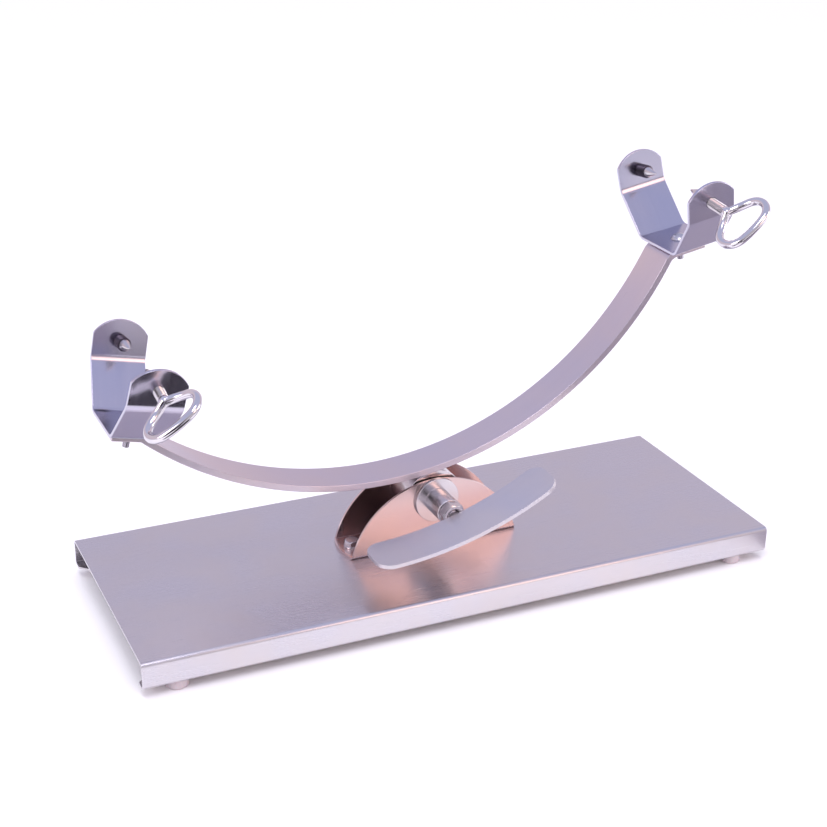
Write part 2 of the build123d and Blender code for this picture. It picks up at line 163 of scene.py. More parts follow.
class ClampSizes(bpy.types.PropertyGroup):
    """What the clamps carry."""

    sheet: size("Sheet", "Thickness of the clamp strip", 2.5)
    bolt: size("Bolt", "Diameter of the clamp bolt", 5)
    head: size("Bolt head", "Diameter of the round head", 12.5)
    head_height: size("Head height", "Height of the round head", 3.5)
    nut_flats: size("Nut", "Across the flats of the clamp nut", 8)
    nut_height: size("Nut height", "Height of the clamp nut", 4)
    bolt_end: size("Bolt end", "Thread past the clamp nut", 6)
    point_length: size("Point shoulder", "Length of the fixed point's thread", 10.5)
    point_diameter: size("Point thread", "Diameter of the fixed point's thread", 10)
    cone_length: size("Cone", "Length of the fixed point's cone", 12)
    point_nut_flats: size("Point nut", "Across the flats of the nuts on the wings", 13)
    point_nut_height: size("Point nut height", "Height of the nuts on the wings", 6.5)
    point_end: size("Point end", "Thread past the point's nut", 1.5)


class ScrewSizes(bpy.types.PropertyGroup):
    """The ring screws."""

    diameter: size("Diameter", "Diameter of the screw", 8)
    pitch: size("Pitch", "Advance of the screw in one turn", 1.25)
    length: size("Length", "Length of the screw behind its neck", 32.7)
    neck: size("Neck", "From the end of the screw to the joint of the ring", 3)
    point_length: size("Point", "Length of the loose point", 10)
    left_reach: size("Left reach", "Wing to the ring's joint, left", 13.2)
    right_reach: size("Right reach", "Wing to the ring's joint, right", 18.7)
    left_turn: angle("Left turn", "Turn of the left ring", 49)
    right_turn: angle("Right turn", "Turn of the right ring", 33)
    wire: size("Wire", "Diameter of the ring's wire", 6)
    spread: angle("Spread", "Each leg from the screw's axis", 56)
    leg: size("Leg", "Length of each leg", 17.5)
    corner: size("Corner", "Radius of the ring's corners", 12)
    bow: size("Bow", "Radius of the ring's far side", 50)


class LeverSizes(bpy.types.PropertyGroup):
    """The lock lever and the bolt that it turns on."""

    tilt: angle("Tilt", "Right end of the lever above level", 16.2)
    flats: size("Flats", "Across the flats of the lever nut and the bolt's head", 17)
    bolt: size("Bolt", "Diameter of the pivot bolt", 10)


class StageSettings(bpy.types.PropertyGroup):
    """The camera and the light."""

    azimuth: angle("Azimuth", "Turn of the view about the upright axis", -24.625)
    elevation: angle("Elevation", "Height of the view above level", 23.729)
    roll: angle("Roll", "Turn of the picture", 0.848)
    distance: size("Distance", "Camera to the point it aims at", 1436.2)
    aim_right: size("Aim right", "Aim point right of the origin", 86.1)
    aim_back: size("Aim back", "Aim point behind the origin", 212.7)
    aim_up: size("Aim up", "Aim point above the floor", 27)
    lens: FloatProperty(name="Lens", description="Focal length in millimetres", default=69.35, min=1)
    floor: tint("Floor", "Pale paper floor", "F6F5F4")
    behind: tint("Room behind", "Light of the room behind the stand", "E8DAE6")
    above: tint("Room above", "Light of the room above the stand", "C9CDEC")
    front: tint("Room in front", "Light of the room in front of the stand", "CDC8CF")
    key: tint("Softboxes", "Light of the softboxes", "FFF8FC")
    warm: tint("Warm softbox", "Light of the softbox in front of the bracket", "FFD2BC")
    cloth: tint("Cloth", "Dark cloth in front of the stand", "1C161E")
    grey_cloth: tint("Grey cloth", "Grey cloth beside the stand", "A8A2AA")
    corner_cloth: tint("Corner cloth", "Darker grey cloth at the stand's front corner", "8A848C")


# ---- Modelling helpers ----
def select_only(piece):
    """Deselect everything, then select and activate one object."""
    bpy.ops.object.select_all(action="DESELECT")
    piece.select_set(True)
    bpy.context.view_layer.objects.active = piece


@contextmanager
def editing(piece):
    """Edit mode on one piece, with all of its mesh selected."""
    select_only(piece)
    bpy.ops.object.mode_set(mode="EDIT")
    bpy.ops.mesh.select_all(action="SELECT")
    yield
    bpy.ops.object.mode_set(mode="OBJECT")


def name_active(name):
    """Name the object that was just added and its mesh."""
    piece = bpy.context.active_object
    piece.name = name
    piece.data.name = name
    return piece


def apply_modifier(piece, kind, **settings):
    """Add a modifier with its settings and apply it."""
    select_only(piece)
    modifier = piece.modifiers.new(kind, kind)
    for key, value in settings.items():
        setattr(modifier, key, value)
    bpy.ops.object.modifier_apply(modifier=modifier.name)


def put(piece, matrix):
    """Move a finished piece to its place and leave that place in its mesh."""
    select_only(piece)
    piece.matrix_world = matrix
    bpy.ops.object.transform_apply()


def axes(origin, x_dir, z_dir):
    """A placement with its x and z directions given."""
    matrix = Matrix((x_dir, z_dir.cross(x_dir), z_dir)).transposed().to_4x4()
    matrix.translation = origin
    return matrix


def up(height):
    """A placement that far up Z."""
    return Matrix.Translation((0, 0, height))


def sloping(tilt):
    """The direction to the right and up at a tilt above level."""
    return Vector((cos(tilt), 0, sin(tilt)))


def duplicate(piece, name):
    """A copy of a piece with its own mesh."""
    copy = piece.copy()
    copy.data = piece.data.copy()
    copy.name = name
    copy.data.name = name
    bpy.context.scene.collection.objects.link(copy)
    return copy


def copies(piece, places):
    """Put one piece and copies of it at several places, and join them into one object."""
    group = [piece] + [duplicate(piece, piece.name) for _ in places[1:]]
    for member, place in zip(group, places):
        put(member, place)
    select_only(piece)
    for member in group:
        member.select_set(True)
    bpy.ops.object.join()
    return piece


def tidy_normals(piece):
    """Merge doubled vertices and turn the faces outwards."""
    with editing(piece):
        bpy.ops.mesh.remove_doubles(threshold=DOUBLES)
        bpy.ops.mesh.normals_make_consistent(inside=False)


def round_edges(piece, width, sharp=40, segments=3):
    """Round the sharp edges and keep the flats flat in the light."""
    apply_modifier(
        piece, "BEVEL", width=width, segments=segments, limit_method="ANGLE", angle_limit=radians(sharp)
    )
    bpy.ops.object.shade_smooth()
    apply_modifier(piece, "WEIGHTED_NORMAL", weight=50)


def smooth(piece, sharp=35):
    """Shade gentle edges smooth and leave the sharp ones."""
    select_only(piece)
    bpy.ops.object.shade_smooth_by_angle(angle=radians(sharp))


def cad_copy(cad_node, name):
    """A merged copy of a CAD node, with the triangles of each flat face joined."""
    piece = duplicate(frame["nodes"][cad_node], name)
    piece.parent = None
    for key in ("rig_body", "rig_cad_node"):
        if key in piece:
            del piece[key]
    select_only(piece)
    if piece.data.has_custom_normals:
        bpy.ops.mesh.customdata_custom_splitnormals_clear()
    with editing(piece):
        bpy.ops.mesh.remove_doubles(threshold=DOUBLES)
        bpy.ops.mesh.dissolve_limited(angle_limit=radians(0.2))
    return piece


def finish(piece, material, slot, body, cad_node):
    """Give a piece its finish and its body, and hide the CAD node that it stands for."""
    piece.data.materials.clear()
    piece.data.materials.append(finish_material(material))
    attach(piece, body)
    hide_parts(cad_node)


def eased_copy(cad_node, name, edge, material, slot, body, sharp=40):
    """A copy of a CAD node with its sharp edges rounded, in its finish and on its body."""
    piece = cad_copy(cad_node, name)
    round_edges(piece, edge, sharp)
    finish(piece, material, slot, body, cad_node)


def extrude(step):
    """Extrude what is selected by a step."""
    bpy.ops.mesh.extrude_region_move(TRANSFORM_OT_translate={"value": step})


def spin(*bends):
    """Carry what is selected round bends of (centre, clockwise turn, steps) about Z."""
    for centre, turn, steps in bends:
        bpy.ops.mesh.spin(steps=steps, angle=-turn, center=(centre.x, centre.y, 0), axis=(0, 0, 1))


def stations_from(level, *steps):
    """Stations for the lathe from steps of (height above a level, radius) in millimetres."""
    return [(level + height * MM, radius * MM) for height, radius in steps]


def turn_on_lathe(name, stations, sides=64):
    """A turned piece about Z from stations of (height, radius), closed at both ends."""
    (height, radius), *others = stations
    bpy.ops.mesh.primitive_circle_add(
        vertices=sides, radius=radius, fill_type="NGON", location=(0, 0, height)
    )
    piece = name_active(name)
    with editing(piece):
        for next_height, next_radius in others:
            extrude((0, 0, next_height - height))
            scale = next_radius / radius
            bpy.ops.transform.resize(value=(scale, scale, 1), center_override=(0, 0, 0))
            height, radius = next_height, next_radius
    bpy.ops.object.transform_apply()
    tidy_normals(piece)
    return piece


def boolean(piece, other, operation):
    """Cut or join a piece with another one, which is used up."""
    apply_modifier(piece, "BOOLEAN", object=other, operation=operation, solver="EXACT")
    bpy.data.objects.remove(other, do_unlink=True)


def bore(piece, radius, low, high, place=None):
    """Cut a round hole along Z, or along the z direction of a place."""
    drill = turn_on_lathe("drill", [(low, radius), (high, radius)], sides=48)
    if place is not None:
        put(drill, place)
    boolean(piece, drill, "DIFFERENCE")


def hexagon(name, flats, height, hole, both_ends=True):
    """A hexagon nut or head along +Z with chamfered corners, and a bore when hole isn't zero."""
    corner = flats / sqrt(3)
    bpy.ops.mesh.primitive_cylinder_add(
        vertices=6, radius=corner, depth=height, location=(0, 0, height / 2), rotation=(0, 0, SIXTH / 2)
    )
    piece = name_active(name)
    bpy.ops.object.transform_apply()
    face = 0.475 * flats  # radius of the round face that the chamfers leave
    past = 1.02 * corner  # just outside the corners
    fall = 0.5774  # the chamfers fall away at 30 degrees
    drop = (past - face) * fall
    low = [(0, face), (drop, past)] if both_ends else [(0, past)]
    blank = turn_on_lathe("blank", [*low, (height - drop, past), (height, face)], sides=72)
    boolean(piece, blank, "INTERSECT")
    if hole:
        bore(piece, hole, -height, 2 * height)
        depth, spare = 0.08 * flats, 0.02 * flats  # of the countersink, and of its cutter above the face
        rim = turn_on_lathe(
            "rim", [(height - depth, hole), (height + spare, hole + depth + spare)], sides=48
        )
        boolean(piece, rim, "DIFFERENCE")
    tidy_normals(piece)
    round_edges(piece, 0.012 * flats, sharp=25, segments=2)
    return piece


def hexagon_nuts(name, flats, height, hole, places, body, cad_node):
    """Hexagon nuts at several places, in the fasteners' finish."""
    nuts = copies(hexagon(name, flats, height, hole), places)
    finish(nuts, *FASTENER, body, cad_node)


def thread(name, diameter, pitch, low, high, tip):
    """A threaded rod along Z from low to high, with its ends turned down by tip."""
    crest = diameter / 2
    root = crest - 0.61 * pitch  # depth of a metric thread
    bpy.ops.mesh.primitive_plane_add(size=pitch)
    piece = name_active(name)
    profile = bmesh.new()
    profile.from_mesh(piece.data)
    for edge in profile.edges[:]:
        profile.edges.remove(edge)
    profile.verts.ensure_lookup_table()
    start = low - 1.5 * pitch
    path = [(root, 0.0), (crest, 0.42), (crest, 0.58), (root, 1.0)]  # radius and share of the pitch
    for vertex, (radius, share) in zip(profile.verts, path):
        vertex.co = (radius, 0, start + share * pitch)
    for first, second in zip(profile.verts[:-1], profile.verts[1:]):
        profile.edges.new((first, second))
    profile.to_mesh(piece.data)
    profile.free()
    turns = int((high - low) / pitch) + 4
    apply_modifier(
        piece, "SCREW", axis="Z", angle=tau, screw_offset=pitch, iterations=turns, steps=28,
        render_steps=28, use_merge_vertices=True, merge_threshold=0.001 * MM,
    )
    tidy_normals(piece)
    for height, outer in ((low, False), (high, True)):
        with editing(piece):
            bpy.ops.mesh.bisect(
                plane_co=(0, 0, height), plane_no=(0, 0, 1), use_fill=True, clear_outer=outer,
                clear_inner=not outer,
            )
    past = crest * 1.01  # just outside the crests
    ends = [(low, crest - tip), (low + tip, past), (high - tip, past), (high, crest - tip)]
    boolean(piece, turn_on_lathe("blank", ends), "INTERSECT")
    tidy_normals(piece)
    smooth(piece)
    return piece


def add_thread(head, diameter, pitch, low, high, tip):
    """Join a threaded shank to a head along Z."""
    boolean(head, thread("shank", diameter, pitch, low, high, tip), "UNION")
    smooth(head)


# ---- Materials ----
def new_material(name):
    """An empty material and its node tree."""
    material = bpy.data.materials.new(name)
    material.use_nodes = True
    material.node_tree.nodes.clear()
    return material, material.node_tree


def node(tree, kind, inputs=None, **settings):
    """Add one node: settings are its own properties, inputs are values and links.

    A link is a (node, output) pair, or just the node for its first output.
    """
    new = tree.nodes.new(kind)
    for key, value in settings.items():
        setattr(new, key, value)
    for socket, value in (inputs or {}).items():
        if isinstance(value, bpy.types.Node):
            value = value, 0
        if isinstance(value, tuple) and isinstance(value[0], bpy.types.Node):
            tree.links.new(value[0].outputs[value[1]], new.inputs[socket])
        else:
            new.inputs[socket].default_value = value
    return new


def rgba(colour, factor=1.0):
    """A colour with its alpha, made darker or lighter by factor."""
    return (*(channel * factor for channel in colour), 1.0)


def brushed_stainless(tree, place, colour, grain, across, turn=0.0, roughness=0.3, stretch=0.75):
    """Stainless that was drawn past a fine belt: streaks along the grain and reflections smeared across it.

    grain gives the streaks' size along each axis of the piece's own level, turn the tilt of that level,
    and across the direction that reflections are smeared in.
    """
    level = node(
        tree, "ShaderNodeMapping",
        {"Vector": place, "Rotation": (0, turn, 0), "Scale": grain}, vector_type="TEXTURE",
    )
    streaks = node(tree, "ShaderNodeTexNoise", {"Vector": level, "Scale": 1, "Detail": 3})
    cloud = 45 * MM  # size of the cloudy marks that handling leaves
    patches = node(tree, "ShaderNodeTexNoise", {"Vector": place, "Scale": 1 / cloud, "Detail": 2})
    line_tone = node(tree, "ShaderNodeMapRange", {"Value": streaks, "From Min": 0.3, "From Max": 0.7})
    patch_tone = node(tree, "ShaderNodeMapRange", {"Value": patches, "From Min": 0.35, "From Max": 0.65})
    lined = node(
        tree, "ShaderNodeMixRGB",
        {"Fac": line_tone, "Color1": rgba(colour, 0.98), "Color2": rgba(colour, 1.015)},
    )
    cool, warm = rgba((0.95, 0.96, 1.0)), rgba((1.0, 0.98, 0.97))
    handled = node(tree, "ShaderNodeMixRGB", {"Fac": patch_tone, "Color1": cool, "Color2": warm})
    base = node(
        tree, "ShaderNodeMixRGB",
        {"Fac": 1.0, "Color1": lined, "Color2": handled}, blend_type="MULTIPLY",
    )
    line_rough = node(
        tree, "ShaderNodeMapRange",
        {"Value": streaks, "From Min": 0.3, "From Max": 0.7,
         "To Min": roughness * 0.88, "To Max": roughness * 1.12},
    )
    patch_rough = node(
        tree, "ShaderNodeMapRange",
        {"Value": patches, "From Min": 0.3, "From Max": 0.7, "To Min": -0.02, "To Max": 0.02},
    )
    rough = node(tree, "ShaderNodeMath", {0: line_rough, 1: patch_rough}, operation="ADD")
    relief = node(tree, "ShaderNodeBump", {"Height": streaks, "Strength": 0.035, "Distance": 0.02 * MM})
    smear = node(
        tree, "ShaderNodeVectorTransform", {"Vector": across},
        vector_type="VECTOR", convert_from="OBJECT", convert_to="WORLD",
    )
    metal = node(
        tree, "ShaderNodeBsdfPrincipled",
        {"Base Color": base, "Metallic": 1.0, "Roughness": rough,
         "Anisotropic": stretch, "Tangent": smear, "Normal": relief},
    )
    node(tree, "ShaderNodeOutputMaterial", {"Surface": metal})


def marked_surface(tree, tones, marks, grain, span, rough, relief, depth, **shader):
    """Colour a surface by its marks and give it gloss and relief by its grain.

    tones are the colours at both ends of the marks, span the part of the grain that counts, and rough
    the roughness at its ends. relief and depth are the strength and height of the bump.
    """
    base = node(tree, "ShaderNodeMixRGB", {"Fac": marks, "Color1": tones[0], "Color2": tones[1]})
    gloss = node(
        tree, "ShaderNodeMapRange",
        {"Value": grain, "From Min": span[0], "From Max": span[1],
         "To Min": rough[0], "To Max": rough[1]},
    )
    bump = node(tree, "ShaderNodeBump", {"Height": grain, "Strength": relief, "Distance": depth})
    surface = node(
        tree, "ShaderNodeBsdfPrincipled",
        {"Base Color": base, "Roughness": gloss, "Normal": bump, **shader},
    )
    node(tree, "ShaderNodeOutputMaterial", {"Surface": surface})


def turned_stainless(tree, place, colour, roughness=0.22, groove=0.35 * MM):
    """Stainless from the lathe: bright, with fine tool lines round the pivot's axis.

    Real tool lines are about 0.1 mm apart. groove draws them coarser, so that they show.
    """
    pivot = joints["cradle_tilt"]["pos_m"]
    centred = node(tree, "ShaderNodeMapping", {"Vector": place, "Location": [-value for value in pivot]})
    parts = node(tree, "ShaderNodeSeparateXYZ", {"Vector": centred})
    flat = node(tree, "ShaderNodeCombineXYZ", {"X": (parts, "X"), "Z": (parts, "Z")})
    reach = node(tree, "ShaderNodeVectorMath", {0: flat}, operation="LENGTH")
    lathe = node(tree, "ShaderNodeCombineXYZ", {"X": (reach, "Value"), "Y": (parts, "Y")})
    lines = node(tree, "ShaderNodeTexNoise", {"Vector": lathe, "Scale": 1 / groove, "Detail": 2})
    stain = 9 * MM  # size of the faint stains that hands and coolant leave
    marks = node(tree, "ShaderNodeTexNoise", {"Vector": place, "Scale": 1 / stain, "Detail": 2})
    marked_surface(
        tree, (rgba(colour, 0.92), rgba(colour, 1.05)), marks, lines, (0.3, 0.7),
        (roughness * 0.8, roughness * 1.25), 0.3, 0.01 * MM, Metallic=1.0,
    )


def polished_stainless(tree, place, colour, roughness=0.07):
    """Stainless wire buffed bright, with faint drawing marks left in it.

    Real drawing marks are well under 1 mm apart, and are drawn coarser, so that they show.
    """
    drawing = 2.5 * MM
    marks = node(tree, "ShaderNodeTexNoise", {"Vector": place, "Scale": 1 / drawing, "Detail": 3})
    marked_surface(
        tree, (rgba(colour, 0.95), rgba(colour)), marks, marks, (0.35, 0.7),
        (roughness * 0.6, roughness * 1.8), 0.03, 0.01 * MM, Metallic=1.0,
    )


def moulded_rubber(tree, place, colour):
    """Pale rubber from a mould: soft gloss, a slight grain and light that bleeds through its edge.

    The grain of a real mould is near 0.2 mm, and is drawn coarser, so that it shows.
    """
    mould_grain, dust_spot = 0.8 * MM, 6 * MM
    grain = node(tree, "ShaderNodeTexNoise", {"Vector": place, "Scale": 1 / mould_grain, "Detail": 3})
    dust = node(tree, "ShaderNodeTexNoise", {"Vector": place, "Scale": 1 / dust_spot, "Detail": 2})
    light_depth = {"Subsurface Weight": 0.15, "Subsurface Scale": 1.5 * MM}
    marked_surface(
        tree, (rgba(colour, 0.88), rgba(colour, 1.02)), dust, grain, (0, 1), (0.38, 0.55),
        0.2, 0.05 * MM, IOR=1.52, **light_depth,
    )


def clamp_strip(tree, place, side):
    """Cold-rolled strip brushed across the strap: cooler and sharper in its reflections than the bars."""
    look = bpy.context.scene.stand_finish
    tilt, long = tab_tilt(side), look.grain_length
    grain, across = (look.grain_width, long, long), tuple(sloping(tilt))
    brushed_stainless(tree, place, look.strip, grain, across, turn=-tilt, roughness=0.2, stretch=0.4)


def finish_material(name):
    """Each of the stand's finishes, made when it is first asked for."""
    if name in bpy.data.materials:
        return bpy.data.materials[name]
    material, tree = new_material(name)
    place = node(tree, "ShaderNodeTexCoord"), "Object"
    look = bpy.context.scene.stand_finish
    long, fine = look.grain_length, look.grain_width
    makers = {
        # Sheet brushed along its length: wide, soft reflections and long fine lines.
        "brushed_stainless_tray": lambda: brushed_stainless(
            tree, place, look.sheet, (long, fine, fine), (0, 1, 1)),
        # Thinner sheet, brushed less: closer reflections, so it takes the warm light of the room. The peach
        # in its tint is a painted warm reflection of the room in front.
        "brushed_stainless_bracket": lambda: brushed_stainless(
            tree, place, look.bracket_tint_and_warm_reflection, (long, fine, fine), (0, 1, 1), roughness=0.24, stretch=0.5),
        # Bars brushed after bending: the dullest steel, with lines along the bend.
        "brushed_stainless_strap": lambda: brushed_stainless(
            tree, place, look.bar, (long, fine, long), (0, 1, 0), roughness=0.33),
        "brushed_stainless_lever": lambda: brushed_stainless(
            tree, place, look.lever, (long, fine, long), (0, 1, 0), roughness=0.36),
        "brushed_stainless_left_clamp": lambda: clamp_strip(tree, place, "left"),
        "brushed_stainless_right_clamp": lambda: clamp_strip(tree, place, "right"),
        # Machined pieces: bright, with soft highlights.
        "turned_stainless": lambda: turned_stainless(tree, place, look.turned),
        # Bought fasteners, tumbled after forming: duller than turned pieces.
        "plain_stainless_fastener": lambda: turned_stainless(
            tree, place, look.fastener, roughness=0.28, groove=0.5 * MM),
        # Thread painted almost black: a painted shade for the shade and dark reflections in its grooves, so
        # it reads dark beside the bright point.
        "blackened_thread": lambda: turned_stainless(tree, place, look.thread, roughness=0.3),
        # Bearing bronze from the lathe: brown and a little dull.
        "bearing_bronze": lambda: turned_stainless(tree, place, look.bronze, roughness=0.3),
        "polished_stainless_wire": lambda: polished_stainless(tree, place, look.wire),
        "moulded_pale_rubber": lambda: moulded_rubber(tree, place, look.rubber),
    }
    makers[name]()
    return material


# ---- Places on the cradle ----
def tab_tilt(side):
    """How far the strap's left or right tab rises to the right, above level."""
    strap = bpy.context.scene.stand_strap
    return strap.tilt - strap.left_slope if side == "left" else strap.tilt + strap.right_slope


def cradle_place():
    """The cradle's own level at the pivot: x to the right end, y up, z to the front."""
    return axes(Vector(joints["cradle_tilt"]["pos_m"]), sloping(bpy.context.scene.stand_strap.tilt), -Y)


def wing_place(side, rear=False):
    """The hole of a clamp's wing: z outwards along its axis and x along the strap."""
    joint = joints[f"{side}_screw_turn"]
    origin, outward = Vector(joint["pos_m"]), Vector(joint["axis"]).normalized()
    along = sloping(tab_tilt(side))
    if rear:
        origin.y, outward.y, along = -origin.y, -outward.y, -along
    return axes(origin, (along - along.dot(outward) * outward).normalized(), outward)


def seat_place(side):
    """A clamp's seat on the strap: x along the strap to the right, z away from the strap."""
    strap = bpy.context.scene.stand_strap
    along = sloping(tab_tilt(side))
    end = strap_outline()[f"{side}_end"]
    inset = strap.left_inset if side == "left" else -strap.right_inset
    origin = cradle_place() @ Vector((end[0], end[1], 0)) + along * inset
    return axes(Vector((origin.x, 0, origin.z)), along, Vector((-along.z, 0, along.x)))


def strap_outline():
    """Points and bend centres of the strap's top surface in the cradle's own level."""
    strap = bpy.context.scene.stand_strap
    centre = Vector((0, strap.rise + strap.radius + strap.thickness))
    marks = {"centre": centre}
    for side, sign in (("left", -1), ("right", 1)):
        sweep, slope, bend, tab = (
            getattr(strap, f"{side}_{key}") for key in ("arc", "slope", "bend", "tab")
        )
        outward = Vector((sign * sin(sweep), -cos(sweep)))
        bend_centre = centre + strap.radius * outward + bend * outward
        bend_end = bend_centre + bend * Vector((-sign * sin(slope), cos(slope)))
        marks[f"{side}_bend_centre"] = bend_centre
        marks[f"{side}_end"] = bend_end + tab * Vector((sign * cos(slope), sin(slope)))
        marks[f"{side}_turn"] = sweep - slope
    return marks


# ---- Pieces ----
class STAND_OT_tray(bpy.types.Operator):
    """Make the folded tray with rounded cut edges"""

    bl_idname = "stand.tray"
    bl_label = "Tray"

    def execute(self, context):
        edge = context.scene.stand_finish.edge
        eased_copy("base_plate", "tray", edge, "brushed_stainless_tray", "brushed_sheet", "base")
        return {"FINISHED"}


class STAND_OT_feet(bpy.types.Operator):
    """Make the rubber feet, their screws and their nuts"""

    bl_idname = "stand.feet"
    bl_label = "Feet"

    def execute(self, context):
        corners = ["front_left", "front_right", "rear_left", "rear_right"]
        boxes = [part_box(f"foot_{corner}") for corner in corners]
        places = [Matrix.Translation(((a.x + b.x) / 2, (a.y + b.y) / 2, 0)) for a, b in boxes]
        low, high = boxes[0]
        radius, height = (high.x - low.x) / 2, high.z - low.z
        recess, head_top, hole = 4.5 * MM, 3.6 * MM, 2.25 * MM  # the recess takes the screw's head
        pad = turn_on_lathe("pad", [
            (0, radius * 0.80), (0.25 * MM, radius * 0.93), (0.9 * MM, radius * 0.99), (1.4 * MM, radius),
            (2.6 * MM, radius * 0.985), (height - 1 * MM, radius * 0.94),
            (height - 0.3 * MM, radius * 0.93), (height, radius * 0.90),
        ])
        bore(pad, recess, -1 * MM, head_top)
        bore(pad, hole, 0, 2 * height)
        tidy_normals(pad)
        smooth(pad)
        for corner, place in zip(corners, places):
            foot = duplicate(pad, f"foot_pad_{corner}")
            put(foot, place)
            finish(foot, "moulded_pale_rubber", "pale_rubber", "base", f"foot_{corner}")
        bpy.data.objects.remove(pad, do_unlink=True)

        head_low, shank_end = (corner.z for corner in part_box("foot_screws"))
        pan = stations_from(head_low, (0, 2.4), (0.3, 3.2), (1.1, 3.85))
        head = turn_on_lathe("foot_screw_heads", pan + stations_from(head_top, (-0.4, 4), (0, 3.9)))
        slot_size = (5 * MM, 0.9 * MM, 2 * MM)  # half of its depth is in the head
        bpy.ops.mesh.primitive_cube_add(size=1, scale=slot_size, location=(0, 0, head_low))
        boolean(head, name_active("slot"), "DIFFERENCE")
        screw, pitch, nut_flats = 4 * MM, 0.7 * MM, 7 * MM
        add_thread(head, screw, pitch, head_top - 0.1 * MM, shank_end, tip=0.3 * MM)
        screws = copies(head, places)
        finish(screws, *FASTENER, "base", "foot_screws")
        nut_low, nut_high = (corner.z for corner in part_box("foot_nuts"))
        places = [place @ up(nut_low) for place in places]
        hexagon_nuts("foot_hex_nuts", nut_flats, nut_high - nut_low, screw / 2, places, "base", "foot_nuts")
        return {"FINISHED"}


class STAND_OT_bracket(bpy.types.Operator):
    """Make the channel bracket and its bolts, washers and nuts"""

    bl_idname = "stand.bracket"
    bl_label = "Bracket"

    def execute(self, context):
        edge = context.scene.stand_finish.edge
        eased_copy(
            "pivot_bracket", "channel_bracket", edge, "brushed_stainless_bracket", "brushed_bracket", "base"
        )
        eased_copy("bracket_washers", "bracket_flat_washers", 0.3 * MM, *FASTENER, "base")

        bolt, pitch, flats, head_height = 6 * MM, 1 * MM, 10 * MM, 4 * MM
        low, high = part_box("bracket_bolts")
        right = high.x - flats / sqrt(3)
        left = low.x + high.x - right
        places = [Matrix.Translation((x, 0, 0)) for x in (left, right)]
        head = hexagon("bracket_hex_bolts", flats, head_height, 0, both_ends=False)
        put(head, up(high.z - head_height))
        add_thread(head, bolt, pitch, low.z, high.z - head_height + 0.2 * MM, tip=0.6 * MM)
        bolts = copies(head, places)
        finish(bolts, *FASTENER, "base", "bracket_bolts")
        nut_low, nut_high = (corner.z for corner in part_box("bracket_nuts"))
        places = [place @ up(nut_low) for place in places]
        height = nut_high - nut_low
        hexagon_nuts("bracket_hex_nuts", flats, height, bolt / 2, places, "base", "bracket_nuts")
        return {"FINISHED"}


class STAND_OT_pivot(bpy.types.Operator):
    """Make the pivot bolt, its washers and the spacer sleeve"""

    bl_idname = "stand.pivot"
    bl_label = "Pivot"

    def execute(self, context):
        eased_copy("front_washer", "front_round_washer", 0.35 * MM, *TURNED, "base")
        eased_copy("rear_washer", "rear_round_washer", 0.35 * MM, *TURNED, "base")
        eased_copy("spacer_sleeve", "turned_sleeve", 0.7 * MM, *TURNED, "base")
        low, high = (corner.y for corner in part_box("pivot_bolt"))
        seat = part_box("rear_washer")[1].y
        lever = context.scene.stand_lever
        head = hexagon("pivot_hex_bolt", lever.flats, high - seat, 0, both_ends=False)
        radius, chamfer = lever.bolt / 2, 1 * MM
        end = low - seat
        shank = turn_on_lathe(
            "shank", [(end, radius - chamfer), (end + chamfer, radius), (0.2 * MM, radius)]
        )
        boolean(head, shank, "UNION")
        smooth(head)
        pivot = joints["cradle_tilt"]["pos_m"]
        put(head, axes(Vector((pivot[0], seat, pivot[2])), X, Y))
        finish(head, *TURNED, "base", "pivot_bolt")
        return {"FINISHED"}


class STAND_OT_lever(bpy.types.Operator):
    """Make the lock lever: its nut and its curved bar"""

    bl_idname = "stand.lever"
    bl_label = "Lock lever"

    def execute(self, context):
        pivot = Vector(joints["lever_turn"]["pos_m"])
        low, high = (corner.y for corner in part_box("lever_nut"))
        lever = context.scene.stand_lever
        nut = hexagon("lever_hex_nut", lever.flats, high - low, lever.bolt / 2 + 0.05 * MM)
        seat = axes(Vector((pivot.x, high, pivot.z)), sloping(lever.tilt), -Y)
        put(nut, seat @ Matrix.Rotation(SIXTH / 2, 4, "Z"))
        finish(nut, *TURNED, "lever", "lever_nut")
        eased_copy(
            "lever_bar", "lever_flat_bar", 0.6 * MM, "brushed_stainless_lever", "brushed_bar", "lever"
        )
        return {"FINISHED"}


class STAND_OT_strap(bpy.types.Operator):
    """Make the curved strap, the boss under it and its bushes"""

    bl_idname = "stand.strap"
    bl_label = "Strap"

    def execute(self, context):
        strap = context.scene.stand_strap
        marks = strap_outline()
        start, slope = marks["left_end"], strap.left_slope
        bpy.ops.mesh.primitive_plane_add(size=1)
        bar = name_active("curved_strap")
        heading = Vector((cos(slope), -sin(slope), 0))
        outward = Vector((sin(slope), cos(slope), 0))
        section = axes(Vector((start.x, start.y, 0)) - strap.thickness / 2 * outward, Z, heading)
        put(bar, section @ Matrix.Diagonal((strap.width, strap.thickness, 1, 1)))
        with editing(bar):
            extrude(heading * strap.left_tab)
            spin(
                (marks["left_bend_centre"], -marks["left_turn"], 10),
                (marks["centre"], strap.left_arc + strap.right_arc, 120),
                (marks["right_bend_centre"], -marks["right_turn"], 14),
            )
            heading = Vector((cos(strap.right_slope), sin(strap.right_slope), 0))
            extrude(heading * strap.right_tab)
        put(bar, cradle_place())
        tidy_normals(bar)
        hole = context.scene.stand_clamp.bolt / 2 + 0.25 * MM
        for side in SIDES:
            bore(bar, hole, -8 * MM, 2 * MM, seat_place(side))
        round_edges(bar, 0.5 * MM)
        finish(bar, "brushed_stainless_strap", "brushed_bar", "cradle", "arc_strap")
        eased_copy("pivot_boss", "strap_boss", 0.5 * MM, *TURNED, "cradle", sharp=50)
        eased_copy(
            "pivot_bushes", "flanged_bushes", 0.2 * MM, "bearing_bronze", "bush_bronze", "cradle", sharp=50
        )
        return {"FINISHED"}


